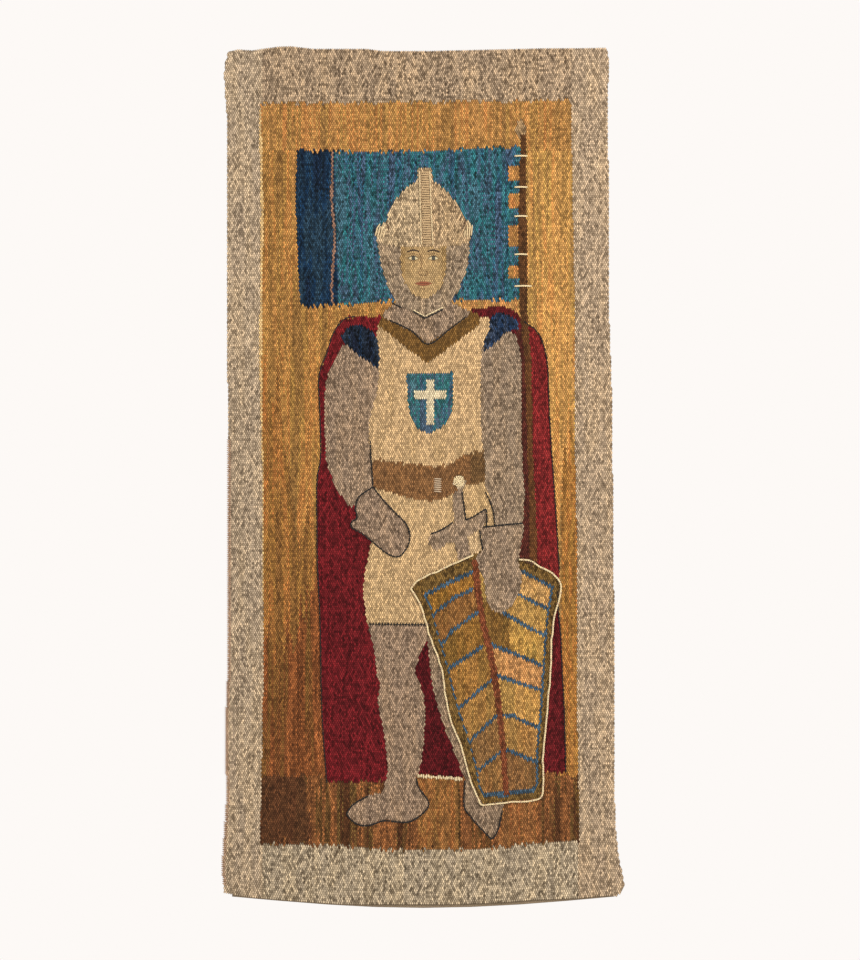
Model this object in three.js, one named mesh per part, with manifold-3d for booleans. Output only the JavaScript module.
// A hand-woven wall hanging: a knight with a banner, worked as separate colour areas in wool,
// hung by a sleeve on a wooden rod that lies in two hooks screwed to the wall.
// Millimetres, +Z up. The front faces -Y and the wall is the plane Y = 0. The origin is on the
// wall, midway between the hooks, at the height of the rod's axis.

import * as THREE from 'three';
import { mergeVertices } from 'three/addons/utils/BufferGeometryUtils.js';
import Module from 'manifold-3d';

const wasm = await Module();
wasm.setup();

// ---- driving dimensions -------------------------------------------------------------------

const PANEL_WIDTH = 712;          // woven cloth, side edge to side edge at the rod
const PANEL_HEIGHT = 1594;        // woven cloth, top edge to bottom edge
const CLOTH_THICKNESS = 4.6;      // wool weft packed over its warps
const AREA_GAP = 0.3;             // between neighbouring woven areas

const ROD_DIAMETER = 14;
const ROD_INSET = 36;             // each end of the rod, in from the side edge
const ROD_DROP = 30;              // rod axis below the top edge

const HOOK_THICKNESS = 2.4;       // bent steel strip
const HOOK_WIDTH = 16;
const HOOK_INSET = 15;            // hook's middle, in from the rod's end
const HOOK_PLATE_UP = 25;         // wall plate above the rod's axis
const HOOK_PLATE_DOWN = 16;
const HOOK_LIP = 3.4;             // front lip above the rod's axis
const ROD_CLEARANCE = 0.3;        // round the rod, in the hooks and in the sleeve
const PANEL_CLEARANCE = 1.2;      // between the hooks' lips and the back of the cloth

const SCREW_SHANK = 4;
const SCREW_HOLE = 4.6;
const SCREW_HEAD = 8;
const SCREW_HEAD_FLAT = 5.6;      // across the flat top of the head
const SCREW_HEAD_HEIGHT = 2.2;
const SCREW_LENGTH = 32;          // under the head
const SCREW_POINT = 5;
const SCREW_UP = 16.5;            // screw above the rod's axis
const SCREW_SEAT_GAP = 0.3;       // between the head and the hook's plate

const SLEEVE_THICKNESS = 1.2;     // cotton cloth
const SLEEVE_END_GAP = 5;         // sleeve's end to the hook's side
const SLEEVE_TAB_UP = 22;         // top of the sewn tab, above the rod's axis
const SLEEVE_POCKET_DOWN = 30;    // bottom of the pocket, below the rod's axis
const SLEEVE_TAB_DOWN = 44;
const SLEEVE_LEAVES_ROD = 22;     // degrees below level, where the sleeve's back leaves the rod

const HEM_THICKNESS = 1.6;
const HEM_WIDTH = 22;
const HEM_INSET = 5;              // side hems, in from the side edge
const HEM_GAP = 0.4;              // between the hems and the cloth, and where hems meet
const BOTTOM_HEM_WIDTH = 40;
const BOTTOM_HEM_SHOW = 10;       // the bottom hem hangs this far below the cloth's lower edge

// ---- places that follow from them ---------------------------------------------------------

const CRADLE_RADIUS = ROD_DIAMETER / 2 + ROD_CLEARANCE;
const ROD_Y = -(HOOK_THICKNESS + CRADLE_RADIUS);
const PANEL_BACK = ROD_Y - CRADLE_RADIUS - HOOK_THICKNESS - PANEL_CLEARANCE;
const ROD_HALF = PANEL_WIDTH / 2 - ROD_INSET;
const HOOK_X = ROD_HALF - HOOK_INSET;
const SLEEVE_HALF = HOOK_X - HOOK_WIDTH / 2 - SLEEVE_END_GAP;
const HEM_FRONT = PANEL_BACK + HEM_GAP;
const CRADLE_MEETS_PLATE = -Math.acos(CRADLE_RADIUS / (CRADLE_RADIUS + HOOK_THICKNESS));

// ---- materials ----------------------------------------------------------------------------

const wool = (color) => new THREE.MeshStandardMaterial({ color, roughness: 0.95, metalness: 0 });
const MATERIALS = {
  taupe: wool('#a8968a'),
  gold: wool('#b9853c'),
  ochre_brown: wool('#8a5a2a'),
  blue: wool('#2f6273'),
  navy: wool('#22304a'),
  crimson: wool('#7a1f2b'),
  dark_crimson: wool('#4d1a20'),
  pole_brown: wool('#4a2c22'),
  pole_olive: wool('#5d4a26'),
  grey: wool('#7d736c'),
  mail: wool('#8f8177'),
  steel_cream: wool('#c2ab86'),
  ridge_cream: wool('#d8c49a'),
  cream: wool('#d8bd84'),
  skin: wool('#c9a878'),
  collar_olive: wool('#6b5328'),
  belt_brown: wool('#7b5034'),
  crest_blue: wool('#2d6a80'),
  crest_cream: wool('#e2cf9f'),
  rim_olive: wool('#6a5520'),
  shield_ochre: wool('#a87a2c'),
  shield_red: wool('#6e2420'),
  hem_tape: wool('#4a4038'),
  sleeve_cotton: new THREE.MeshStandardMaterial({ color: '#d9cfb8', roughness: 0.9, metalness: 0 }),
  rod_wood: new THREE.MeshStandardMaterial({ color: '#c39a63', roughness: 0.6, metalness: 0 }),
  hook_steel: new THREE.MeshStandardMaterial({ color: '#8d8f92', roughness: 0.4, metalness: 0.9 }),
};

// ---- the cartoon --------------------------------------------------------------------------
// Each woven area is drawn as the weaver's cartoon has it: millimetres to the right of the
// centre line, and millimetres down from the top edge, on a cloth of the size below. p is a
// corner, and c is a point that a smooth curve passes through. The areas are listed from the
// lowest layer of the drawing to the highest. A higher area takes its whole outline out of
// the ones below it, so a lower area runs on under its neighbours.

const DRAWN_WIDTH = 712;
const DRAWN_HEIGHT = 1594;
const LOWER_EDGE_DOWN = 1579;     // ends of the lower edge
const LOWER_EDGE_SAG = 11;        // middle of the lower edge, below its two ends
const BOTTOM_HEM_LEFT = -346;
const BOTTOM_HEM_RIGHT = 366;
const BOTTOM_HEM_STEPS = 8;
const p = (x, down) => ({ x, down, smooth: false });
const c = (x, down) => ({ x, down, smooth: true });

const CARTOON = [
  ['border_left', 'taupe', [
    p(-289, 1), c(-309, 4), c(-335, 2), p(-353, 7), c(-361, 50), c(-355, 141), c(-356, 357),
    c(-354, 618), c(-353, 952), c(-353, 1157), c(-358, 1276), c(-355, 1395), c(-363, 1512),
    p(-360, 1572), c(-322, 1579), p(-289, 1582), p(-279, 1529), p(-279, 60),
  ]],
  ['border_right', 'taupe', [
    p(285, 0), p(351, -1), c(355, 24), c(353, 115), c(355, 298), c(356, 513), c(361, 655),
    c(363, 911), c(366, 1157), c(366, 1399), c(372, 1492), p(385, 1559), p(370, 1579),
    c(355, 1577), c(329, 1579), p(298, 1582), p(275, 1529), p(275, 60),
  ]],
  ['border_top', 'taupe', [
    p(-290, 1), c(-260, -3), c(-238, -4), c(-195, 1), c(-97, 1), c(-65, 5), c(22, 5), c(108, 3),
    c(238, 0), p(286, 0), p(286, 115), p(-290, 115),
  ]],
  ['border_bottom', 'taupe', [
    p(-290, 1582), c(-229, 1587), c(-141, 1593), c(-52, 1593), c(63, 1593), c(153, 1590),
    c(211, 1585), c(271, 1583), p(298, 1582), p(298, 1462), p(-290, 1462),
  ]],
  ['field_top', 'gold', [
    p(-294, 104), p(284, 98), p(286, 205), p(-294, 205),
  ]],
  ['field_floor', 'ochre_brown', [
    p(-283, 1339), p(-292, 1354), p(-293, 1479), c(-201, 1483), c(-112, 1486), c(-52, 1492),
    c(22, 1491), c(108, 1491), c(153, 1486), c(227, 1479), p(300, 1474), p(298, 1354),
    p(288, 1339),
  ]],
  ['field_left', 'gold', [
    p(-295, 190), c(-289, 301), c(-291, 469), c(-292, 591), c(-288, 766), c(-288, 1021),
    c(-288, 1176), c(-290, 1306), p(-292, 1354), p(-156, 1354), p(-160, 952), p(-160, 692),
    p(-123, 510), p(-26, 510), p(-26, 465), p(-212, 465), p(-212, 201), p(-221, 190),
  ]],
  ['field_right', 'gold', [
    p(193, 190), p(286, 190), c(288, 311), c(291, 487), c(292, 562), c(291, 711), c(294, 856),
    c(296, 1027), c(296, 1250), p(298, 1354), p(264, 1354), p(238, 952), p(227, 562),
    p(193, 506),
  ]],
  ['field_window', 'gold', [
    p(41, 461), p(193, 461), p(193, 506), p(41, 506),
  ]],
  ['flag', 'blue', [
    p(-162, 193), c(-71, 193), c(22, 192), c(108, 187), p(193, 183), p(193, 468), c(134, 469),
    c(63, 469), c(-52, 470), c(-117, 476), p(-157, 479), c(-163, 450), c(-156, 357),
    c(-162, 246),
  ]],
  ['flag_end_band', 'navy', [
    p(-226, 190), p(-156, 193), p(-149, 479), p(-219, 481), c(-222, 422), c(-227, 301),
  ]],
  ['cloak_left', 'crimson', [
    p(-48, 499), p(-117, 499), c(-135, 503), c(-151, 519), c(-161, 539), c(-169, 565),
    c(-179, 591), c(-185, 618), c(-183, 670), c(-181, 757), c(-188, 807), c(-188, 884),
    c(-187, 965), c(-182, 1075), c(-179, 1231), p(-170, 1367), p(-45, 1362), p(-52, 1213),
    p(-71, 1064), p(-86, 878), p(-108, 804), p(-71, 580), p(-48, 543),
  ]],
  ['cloak_shoulder', 'crimson', [
    p(82, 490), c(115, 484), c(150, 482), c(171, 485), p(193, 502), p(193, 562), p(126, 562),
    p(82, 510),
  ]],
  ['cloak_middle', 'dark_crimson', [
    p(19, 1090), p(104, 1359), p(-19, 1351), p(-19, 1120),
  ]],
  ['cloak_inner', 'dark_crimson', [
    p(182, 525), p(197, 525), p(216, 975), p(182, 975),
  ]],
  ['cloak_right', 'crimson', [
    p(197, 508), p(203, 513), c(220, 526), c(233, 551), c(241, 591), c(243, 644), c(246, 711),
    c(252, 802), c(256, 857), c(260, 924), p(263, 993), p(229, 997), p(216, 963),
  ]],
  ['cloak_right_hem', 'crimson', [
    p(260, 1001), c(261, 1045), c(266, 1101), c(268, 1157), c(272, 1231), p(275, 1348),
    p(219, 1348), p(227, 1101), p(238, 1001),
  ]],
  ['pole_finial', 'grey', [
    c(191, 131), c(201, 151), c(191, 170), c(181, 151),
  ]],
  ['pole_upper', 'pole_brown', [
    p(191, 160), p(200, 160), c(201, 264), c(202, 357), c(203, 487), p(210, 573), p(198, 573),
    c(189, 487), c(187, 357), c(188, 264),
  ]],
  ['pole_lower', 'pole_olive', [
    p(198, 573), p(210, 573), c(212, 655), c(214, 766), c(219, 856), p(222, 975), p(208, 975),
    c(207, 856), c(203, 748), c(201, 655),
  ]],
  ['surcoat', 'cream', [
    p(-76, 515), p(-33, 502), p(133, 502), p(133, 552), p(130, 770), p(22, 792), p(-93, 785),
    p(-93, 692), p(-78, 618),
  ]],
  ['skirt_left', 'cream', [
    p(-89, 800), p(76, 800), p(76, 878), p(87, 956), p(33, 1027), p(22, 1073), p(-94, 1071),
    c(-102, 1015), c(-97, 965), c(-88, 922), p(-97, 878),
  ]],
  ['skirt_right', 'cream', [
    p(74, 800), p(134, 792), p(153, 841), p(153, 895), p(119, 895), p(123, 878), p(115, 867),
    p(74, 885),
  ]],
  ['skirt_lower', 'cream', [
    p(82, 897), p(119, 897), p(126, 924), p(119, 952), p(82, 952),
  ]],
  ['leg_left', 'mail', [
    p(-97, 1060), p(-91, 1081), c(-80, 1129), c(-77, 1168), p(-70, 1183), p(-76, 1216),
    c(-63, 1276), c(-57, 1335), p(-59, 1360), p(-67, 1385), c(-93, 1391), c(-120, 1407),
    p(-133, 1424), c(-123, 1437), c(-106, 1446), c(-84, 1444), c(-63, 1437), c(-20, 1440),
    c(6, 1426), p(20, 1410), c(17, 1397), c(1, 1376), p(-3, 1358), c(7, 1321), c(12, 1261),
    c(11, 1209), p(-6, 1159), c(3, 1129), p(19, 1097), p(19, 1060),
  ]],
  ['leg_right', 'mail', [
    p(13, 1060), p(17, 1103), c(25, 1174), c(35, 1220), c(53, 1274), c(72, 1321), p(87, 1362),
    p(86, 1410), c(99, 1431), c(118, 1453), p(136, 1471), c(143, 1466), c(151, 1447),
    p(160, 1399), p(115, 1362), p(60, 1194), p(41, 1101), p(30, 1060),
  ]],
  ['sword', 'grey', [
    p(64, 815), p(82, 822), c(85, 848), p(89, 878), p(105, 871), p(127, 858), p(128, 878),
    p(116, 893), p(92, 908), c(95, 926), p(100, 952), p(74, 952), p(68, 919), p(54, 921),
    p(34, 936), p(18, 921), p(24, 904), p(46, 895), p(67, 883), c(65, 848),
  ]],
  ['belt', 'belt_brown', [
    p(-84, 764), c(-33, 773), c(22, 777), c(58, 775), c(78, 761), p(123, 749), p(126, 805),
    c(102, 813), c(86, 814), c(61, 832), c(22, 843), c(-23, 835), c(-50, 827), p(-87, 817),
  ]],
  ['pommel', 'ridge_cream', [
    c(77, 796), c(89, 808), c(77, 821), c(65, 808),
  ]],
  ['arm_left', 'mail', [
    p(-138, 551), c(-161, 593), c(-171, 621), c(-174, 670), c(-171, 764), c(-162, 792),
    c(-151, 822), p(-124, 857), p(-110, 839), p(-83, 817), c(-87, 770), c(-93, 714), c(-87, 673),
    c(-77, 640), p(-73, 591), p(-86, 565),
  ]],
  ['arm_right', 'mail', [
    p(134, 539), p(171, 525), c(183, 539), c(192, 578), c(193, 636), c(193, 729), c(195, 785),
    c(198, 826), p(195, 887), p(143, 893), c(140, 862), c(135, 839), p(124, 811), c(124, 766),
    c(118, 722), c(116, 631), p(118, 562),
  ]],
  ['collar_band', 'collar_olive', [
    p(-75, 514), p(-25, 555), p(17, 586), p(56, 558), p(114, 514), p(115, 496), p(82, 484),
    p(19, 536), p(-41, 487), p(-67, 495),
  ]],
  ['mail_collar', 'mail', [
    p(-57, 485), p(-67, 498), p(-53, 507), p(-12, 527), p(19, 550), p(56, 524), p(90, 500),
    p(95, 490), p(52, 469), p(-33, 469),
  ]],
  ['coif', 'mail', [
    p(-78, 353), c(-73, 376), c(-68, 405), c(-60, 433), c(-49, 461), p(-39, 475), p(-23, 485),
    p(11, 500), p(48, 485), c(63, 469), c(77, 446), c(88, 420), c(94, 391), p(97, 353),
  ]],
  ['face', 'skin', [
    p(-32, 361), c(-33, 398), c(-26, 435), c(-9, 458), c(10, 465), c(30, 458), c(46, 435),
    c(53, 398), p(52, 361),
  ]],
  ['helmet_left', 'steel_cream', [
    p(11, 225), p(0, 225), p(0, 245), c(-15, 254), c(-29, 266), c(-42, 282), c(-52, 299),
    p(-58, 318), c(-68, 330), p(-81, 347), p(-73, 364), c(-33, 369), p(11, 371),
  ]],
  ['helmet_right', 'steel_cream', [
    p(15, 225), p(26, 225), p(27, 246), c(41, 256), c(56, 269), c(70, 287), c(79, 302),
    p(86, 316), c(95, 324), p(100, 339), p(95, 362), c(56, 370), p(15, 371),
  ]],
  ['helmet_ridge', 'ridge_cream', [
    p(5, 225), p(20, 225), p(26, 371), p(6, 371),
  ]],
  ['shoulder_left', 'navy', [
    p(-144, 537), c(-128, 518), c(-106, 516), c(-87, 526), c(-73, 554), p(-73, 596),
    c(-101, 578), c(-130, 556),
  ]],
  ['shoulder_right', 'navy', [
    p(122, 566), c(123, 545), c(132, 528), p(132, 506), c(145, 494), c(166, 496), c(186, 510),
    p(186, 522), c(163, 529), c(150, 542), c(136, 554),
  ]],
  ['chest_shield', 'crest_blue', [
    p(-21, 604), p(65, 603), c(65, 651), c(59, 686), c(43, 706), p(22, 716), c(4, 712),
    c(-11, 693), c(-19, 655),
  ]],
  ['chest_cross', 'crest_cream', [
    p(15, 616), p(30, 616), p(30, 638), p(52, 638), p(52, 653), p(30, 653), p(30, 699),
    p(15, 699), p(15, 653), p(-7, 653), p(-7, 638), p(15, 638),
  ]],
  ['shield_rim', 'rim_olive', [
    p(-13, 1005), c(4, 988), c(52, 966), p(102, 943), p(115, 937), p(186, 937), p(187, 951),
    c(208, 953), c(229, 966), c(252, 979), c(266, 998), c(263, 1019), c(254, 1056), c(248, 1110),
    c(245, 1176), c(238, 1259), c(232, 1335), p(232, 1367), p(225, 1397), c(173, 1402),
    p(122, 1408), p(112, 1395), c(99, 1364), c(82, 1305), c(63, 1256), c(50, 1202), c(43, 1153),
    c(22, 1094), c(6, 1042),
  ]],
  ['shield_field_left', 'shield_ochre', [
    p(9, 1014), c(52, 992), p(108, 968), p(115, 1027), p(153, 1213), p(167, 1393), c(147, 1393),
    p(124, 1394), c(113, 1373), c(106, 1334), c(94, 1291), c(75, 1235), c(61, 1183), c(48, 1131),
    c(35, 1090), c(24, 1047),
  ]],
  ['shield_field_right', 'shield_ochre', [
    p(108, 963), p(153, 952), p(198, 973), c(219, 984), c(242, 996), p(253, 1002), c(245, 1038),
    c(239, 1094), c(235, 1157), c(230, 1235), c(224, 1302), p(223, 1373), p(213, 1385),
    p(164, 1390), p(157, 1291), p(145, 1187), p(134, 1123), p(121, 1070),
  ]],
  ['shield_spine', 'shield_red', [
    p(100, 952), p(111, 952), c(117, 1007), c(126, 1070), c(140, 1124), c(151, 1187),
    c(162, 1290), p(169, 1390), p(159, 1390), c(152, 1291), c(139, 1187), c(128, 1123),
    c(115, 1070), c(105, 1006),
  ]],
  ['mitten_left', 'mail', [
    p(-84, 816), c(-67, 838), c(-45, 862), c(-24, 883), c(-15, 906), c(-20, 929), c(-36, 946),
    c(-56, 941), c(-77, 925), c(-100, 906), p(-124, 892), p(-124, 881), p(-113, 875),
    p(-117, 857), p(-110, 836),
  ]],
  ['gauntlet_right', 'mail', [
    p(116, 891), p(197, 888), c(194, 911), c(191, 930), p(185, 957), c(192, 975), c(191, 1001),
    c(184, 1023), c(173, 1038), c(154, 1051), c(137, 1045), c(127, 1023), p(122, 986),
    p(106, 949), c(115, 939), p(120, 931),
  ]],
];

// ---- outlines -----------------------------------------------------------------------------

const CURVE_STEPS = 2;            // straight facets from one curve point to the next
const ARC_STEPS = 20;             // facets round the rod, the screws and the hooks' bends
const MITRE_LIMIT = 0.5;          // cosine at which a sharp corner stops reaching further out

// A cartoon point on the cloth: the drawing is enlarged to the cloth's own width and height.
const onCloth = ({ x, down }) => new THREE.Vector2(
  x * PANEL_WIDTH / DRAWN_WIDTH,
  ROD_DROP - down * PANEL_HEIGHT / DRAWN_HEIGHT,
);

// Corners joined by straight lines, or by a spline where smooth points lie between them.
function traced(points) {
  const firstCorner = points.findIndex((point) => !point.smooth);
  if (firstCorner < 0) {
    const ring = points.map((point) => new THREE.Vector3(...onCloth(point).toArray(), 0));
    const loop = new THREE.CatmullRomCurve3(ring, true, 'catmullrom', 0.5);
    return loop.getPoints(ring.length * CURVE_STEPS * 2).slice(0, -1)
      .map((point) => new THREE.Vector2(point.x, point.y));
  }
  const turned = [...points.slice(firstCorner), ...points.slice(0, firstCorner), points[firstCorner]];
  const corners = [...turned.keys()].filter((index) => !turned[index].smooth);
  return corners.slice(1).flatMap((end, index) => {
    const stretch = turned.slice(corners[index], end + 1).map(onCloth);
    if (stretch.length === 2) return [stretch[0]];
    const steps = (stretch.length - 1) * CURVE_STEPS;
    return new THREE.SplineCurve(stretch).getPoints(steps).slice(0, -1);
  });
}

// The same outline with every side moved outwards by a distance.
function grown(outline, distance) {
  const outwards = THREE.ShapeUtils.isClockWise(outline) ? -distance : distance;
  const count = outline.length;
  const sideNormal = (from, to) => new THREE.Vector2(to.y - from.y, from.x - to.x).normalize();
  return outline.map((point, index) => {
    const before = sideNormal(outline[(index + count - 1) % count], point);
    const after = sideNormal(point, outline[(index + 1) % count]);
    const mitre = before.clone().add(after).normalize();
    const reach = outwards / Math.max(mitre.dot(after), MITRE_LIMIT);
    return point.clone().addScaledVector(mitre, reach);
  });
}

// ---- solids -------------------------------------------------------------------------------

// An outline in X and Z made into a slab whose front is at Y = front.
function slab(outline, front, back) {
  const shape = new THREE.Shape(outline);
  const geometry = new THREE.ExtrudeGeometry(shape, { depth: back - front, bevelEnabled: false });
  return geometry.rotateX(Math.PI / 2).translate(0, back, 0);
}

// An outline in Y and Z carried along X, centred on middle.
function bar(shape, length, middle) {
  const extruded = new THREE.ExtrudeGeometry(shape, {
    depth: length, bevelEnabled: false, curveSegments: ARC_STEPS,
  });
  const turn = new THREE.Matrix4().makeBasis(
    new THREE.Vector3(0, 1, 0), new THREE.Vector3(0, 0, 1), new THREE.Vector3(1, 0, 0),
  );
  return extruded.applyMatrix4(turn).translate(middle - length / 2, 0, 0);
}

function toSolid(geometry) {
  const bare = geometry.clone();
  bare.deleteAttribute('normal');
  bare.deleteAttribute('uv');
  const merged = mergeVertices(bare);
  return new wasm.Manifold(new wasm.Mesh({
    numProp: 3,
    vertProperties: new Float32Array(merged.attributes.position.array),
    triVerts: new Uint32Array(merged.index.array),
  }));
}

function toGeometry(solid) {
  const { vertProperties, triVerts } = solid.getMesh();
  const geometry = new THREE.BufferGeometry();
  geometry.setAttribute('position', new THREE.BufferAttribute(vertProperties, 3));
  geometry.setIndex(new THREE.BufferAttribute(triVerts, 1));
  geometry.computeVertexNormals();
  return geometry;
}

const named = (name, geometry, material) => {
  const mesh = new THREE.Mesh(geometry, MATERIALS[material]);
  mesh.name = name;
  return mesh;
};

// ---- the woven cloth ----------------------------------------------------------------------

function wovenAreas() {
  const front = PANEL_BACK - CLOTH_THICKNESS;
  const cutterDepth = 1;          // cutters stand out of both faces of the cloth
  const outlines = CARTOON.map(([, , points]) => traced(points));
  const boxes = outlines.map((outline) => new THREE.Box2().setFromPoints(outline));
  return CARTOON.map(([name, material], layer) => {
    let area = toSolid(slab(outlines[layer], front, PANEL_BACK));
    for (let above = layer + 1; above < outlines.length; above += 1) {
      if (!boxes[above].intersectsBox(boxes[layer])) continue;
      const cutter = slab(grown(outlines[above], AREA_GAP), front - cutterDepth, PANEL_BACK + cutterDepth);
      area = area.subtract(toSolid(cutter));
    }
    return named(name, toGeometry(area), material);
  });
}

// ---- hems and sleeve on the back ----------------------------------------------------------

// The warp ends of each side edge, turned back and sewn down.
function sideHem(name, side) {
  const outer = side * (PANEL_WIDTH / 2 - HEM_INSET);
  const inner = outer - side * HEM_WIDTH;
  const top = ROD_DROP - HEM_INSET;
  const bottom = ROD_DROP - PANEL_HEIGHT + BOTTOM_HEM_WIDTH + HEM_GAP;
  const outline = [[outer, top], [inner, top], [inner, bottom], [outer, bottom]]
    .map(([x, z]) => new THREE.Vector2(x, z));
  return named(name, slab(outline, HEM_FRONT, HEM_FRONT + HEM_THICKNESS), 'hem_tape');
}

// The bottom hem follows the sag of the lower edge and shows as a strip under it.
function bottomHem() {
  const drawnScale = DRAWN_HEIGHT / PANEL_HEIGHT;
  const sag = LOWER_EDGE_SAG + BOTTOM_HEM_SHOW * drawnScale;
  const lowerEdge = Array.from({ length: BOTTOM_HEM_STEPS + 1 }, (_, step) => {
    const along = step / BOTTOM_HEM_STEPS;
    const x = BOTTOM_HEM_LEFT + (BOTTOM_HEM_RIGHT - BOTTOM_HEM_LEFT) * along;
    const down = LOWER_EDGE_DOWN + sag * Math.sin(Math.PI * along);
    return step % BOTTOM_HEM_STEPS ? c(x, down) : p(x, LOWER_EDGE_DOWN);
  });
  const top = DRAWN_HEIGHT - BOTTOM_HEM_WIDTH * drawnScale;
  const outline = traced([...lowerEdge, p(BOTTOM_HEM_RIGHT, top), p(BOTTOM_HEM_LEFT, top)]);
  return named('hem_bottom', slab(outline, HEM_FRONT, HEM_FRONT + HEM_THICKNESS), 'hem_tape');
}

// A cotton tube, open at both ends: it goes over the rod and down behind it, and is sewn to the
// cloth by a tab above the rod and a tab below the pocket.
function rodSleeve() {
  const tabFront = PANEL_BACK + HEM_GAP;
  const tabBack = tabFront + SLEEVE_THICKNESS;
  const inner = CRADLE_RADIUS;
  const outer = inner + SLEEVE_THICKNESS;
  const backAngle = THREE.MathUtils.degToRad(-SLEEVE_LEAVES_ROD);
  const topAngle = Math.PI / 2;
  const section = new THREE.Shape();
  section.moveTo(tabFront, SLEEVE_TAB_UP);
  section.lineTo(tabFront, -SLEEVE_TAB_DOWN);
  section.lineTo(tabBack, -SLEEVE_TAB_DOWN);
  section.lineTo(tabBack, -SLEEVE_POCKET_DOWN - SLEEVE_THICKNESS);
  section.absarc(ROD_Y, 0, outer, backAngle, topAngle, false);
  section.lineTo(tabBack, outer);
  section.lineTo(tabBack, SLEEVE_TAB_UP);
  const pocket = new THREE.Path();
  pocket.moveTo(tabBack, inner);
  pocket.lineTo(tabBack, -SLEEVE_POCKET_DOWN);
  pocket.absarc(ROD_Y, 0, inner, backAngle, topAngle, false);
  section.holes.push(pocket);
  return named('rod_sleeve', bar(section, 2 * SLEEVE_HALF, 0), 'sleeve_cotton');
}

// ---- rod, hooks and screws ----------------------------------------------------------------

function hangingRod() {
  const section = new THREE.Shape().absarc(ROD_Y, 0, ROD_DIAMETER / 2, 0, 2 * Math.PI, false);
  return named('hanging_rod', bar(section, 2 * ROD_HALF, 0), 'rod_wood');
}

// A steel strip: the wall plate, the cradle bent forwards under the rod, and a short front lip.
function wallHook(name, side) {
  const section = new THREE.Shape();
  section.moveTo(0, HOOK_PLATE_UP);
  section.lineTo(0, -HOOK_PLATE_DOWN);
  section.lineTo(-HOOK_THICKNESS, -HOOK_PLATE_DOWN);
  section.absarc(ROD_Y, 0, CRADLE_RADIUS + HOOK_THICKNESS, CRADLE_MEETS_PLATE, -Math.PI, true);
  section.lineTo(ROD_Y - CRADLE_RADIUS - HOOK_THICKNESS, HOOK_LIP);
  section.lineTo(ROD_Y - CRADLE_RADIUS, HOOK_LIP);
  section.absarc(ROD_Y, 0, CRADLE_RADIUS, -Math.PI, 0, false);
  section.lineTo(-HOOK_THICKNESS, HOOK_PLATE_UP);
  const strip = toSolid(bar(section, HOOK_WIDTH, side * HOOK_X));
  const drill = new THREE.CylinderGeometry(
    SCREW_HOLE / 2, SCREW_HOLE / 2, 4 * HOOK_THICKNESS, ARC_STEPS,
  ).translate(side * HOOK_X, 0, SCREW_UP);
  return named(name, toGeometry(strip.subtract(toSolid(drill))), 'hook_steel');
}

// A pan-head screw through the plate, its shank running on into the wall.
function hookScrew(name, side) {
  const shank = SCREW_SHANK / 2;
  const head = SCREW_HEAD / 2;
  const profile = [
    [0, -SCREW_LENGTH], [shank, SCREW_POINT - SCREW_LENGTH], [shank, 0], [head, 0],
    [head, SCREW_HEAD_HEIGHT / 2], [SCREW_HEAD_FLAT / 2, SCREW_HEAD_HEIGHT], [0, SCREW_HEAD_HEIGHT],
  ].map(([radius, along]) => new THREE.Vector2(radius, along));
  const screw = new THREE.LatheGeometry(profile, ARC_STEPS).rotateX(Math.PI);
  const seat = -HOOK_THICKNESS - SCREW_SEAT_GAP;
  return named(name, screw.translate(side * HOOK_X, seat, SCREW_UP), 'hook_steel');
}

// ---- the assembly -------------------------------------------------------------------------

const hanging = new THREE.Group();
hanging.add(
  ...wovenAreas(),
  sideHem('hem_left', -1),
  sideHem('hem_right', 1),
  bottomHem(),
  rodSleeve(),
);

const wallFittings = new THREE.Group();
wallFittings.add(
  wallHook('wall_hook_left', -1),
  wallHook('wall_hook_right', 1),
  hookScrew('hook_screw_left', -1),
  hookScrew('hook_screw_right', 1),
);

const wallHanging = new THREE.Group();
wallHanging.add(wallFittings, hangingRod(), hanging);

export default wallHanging;
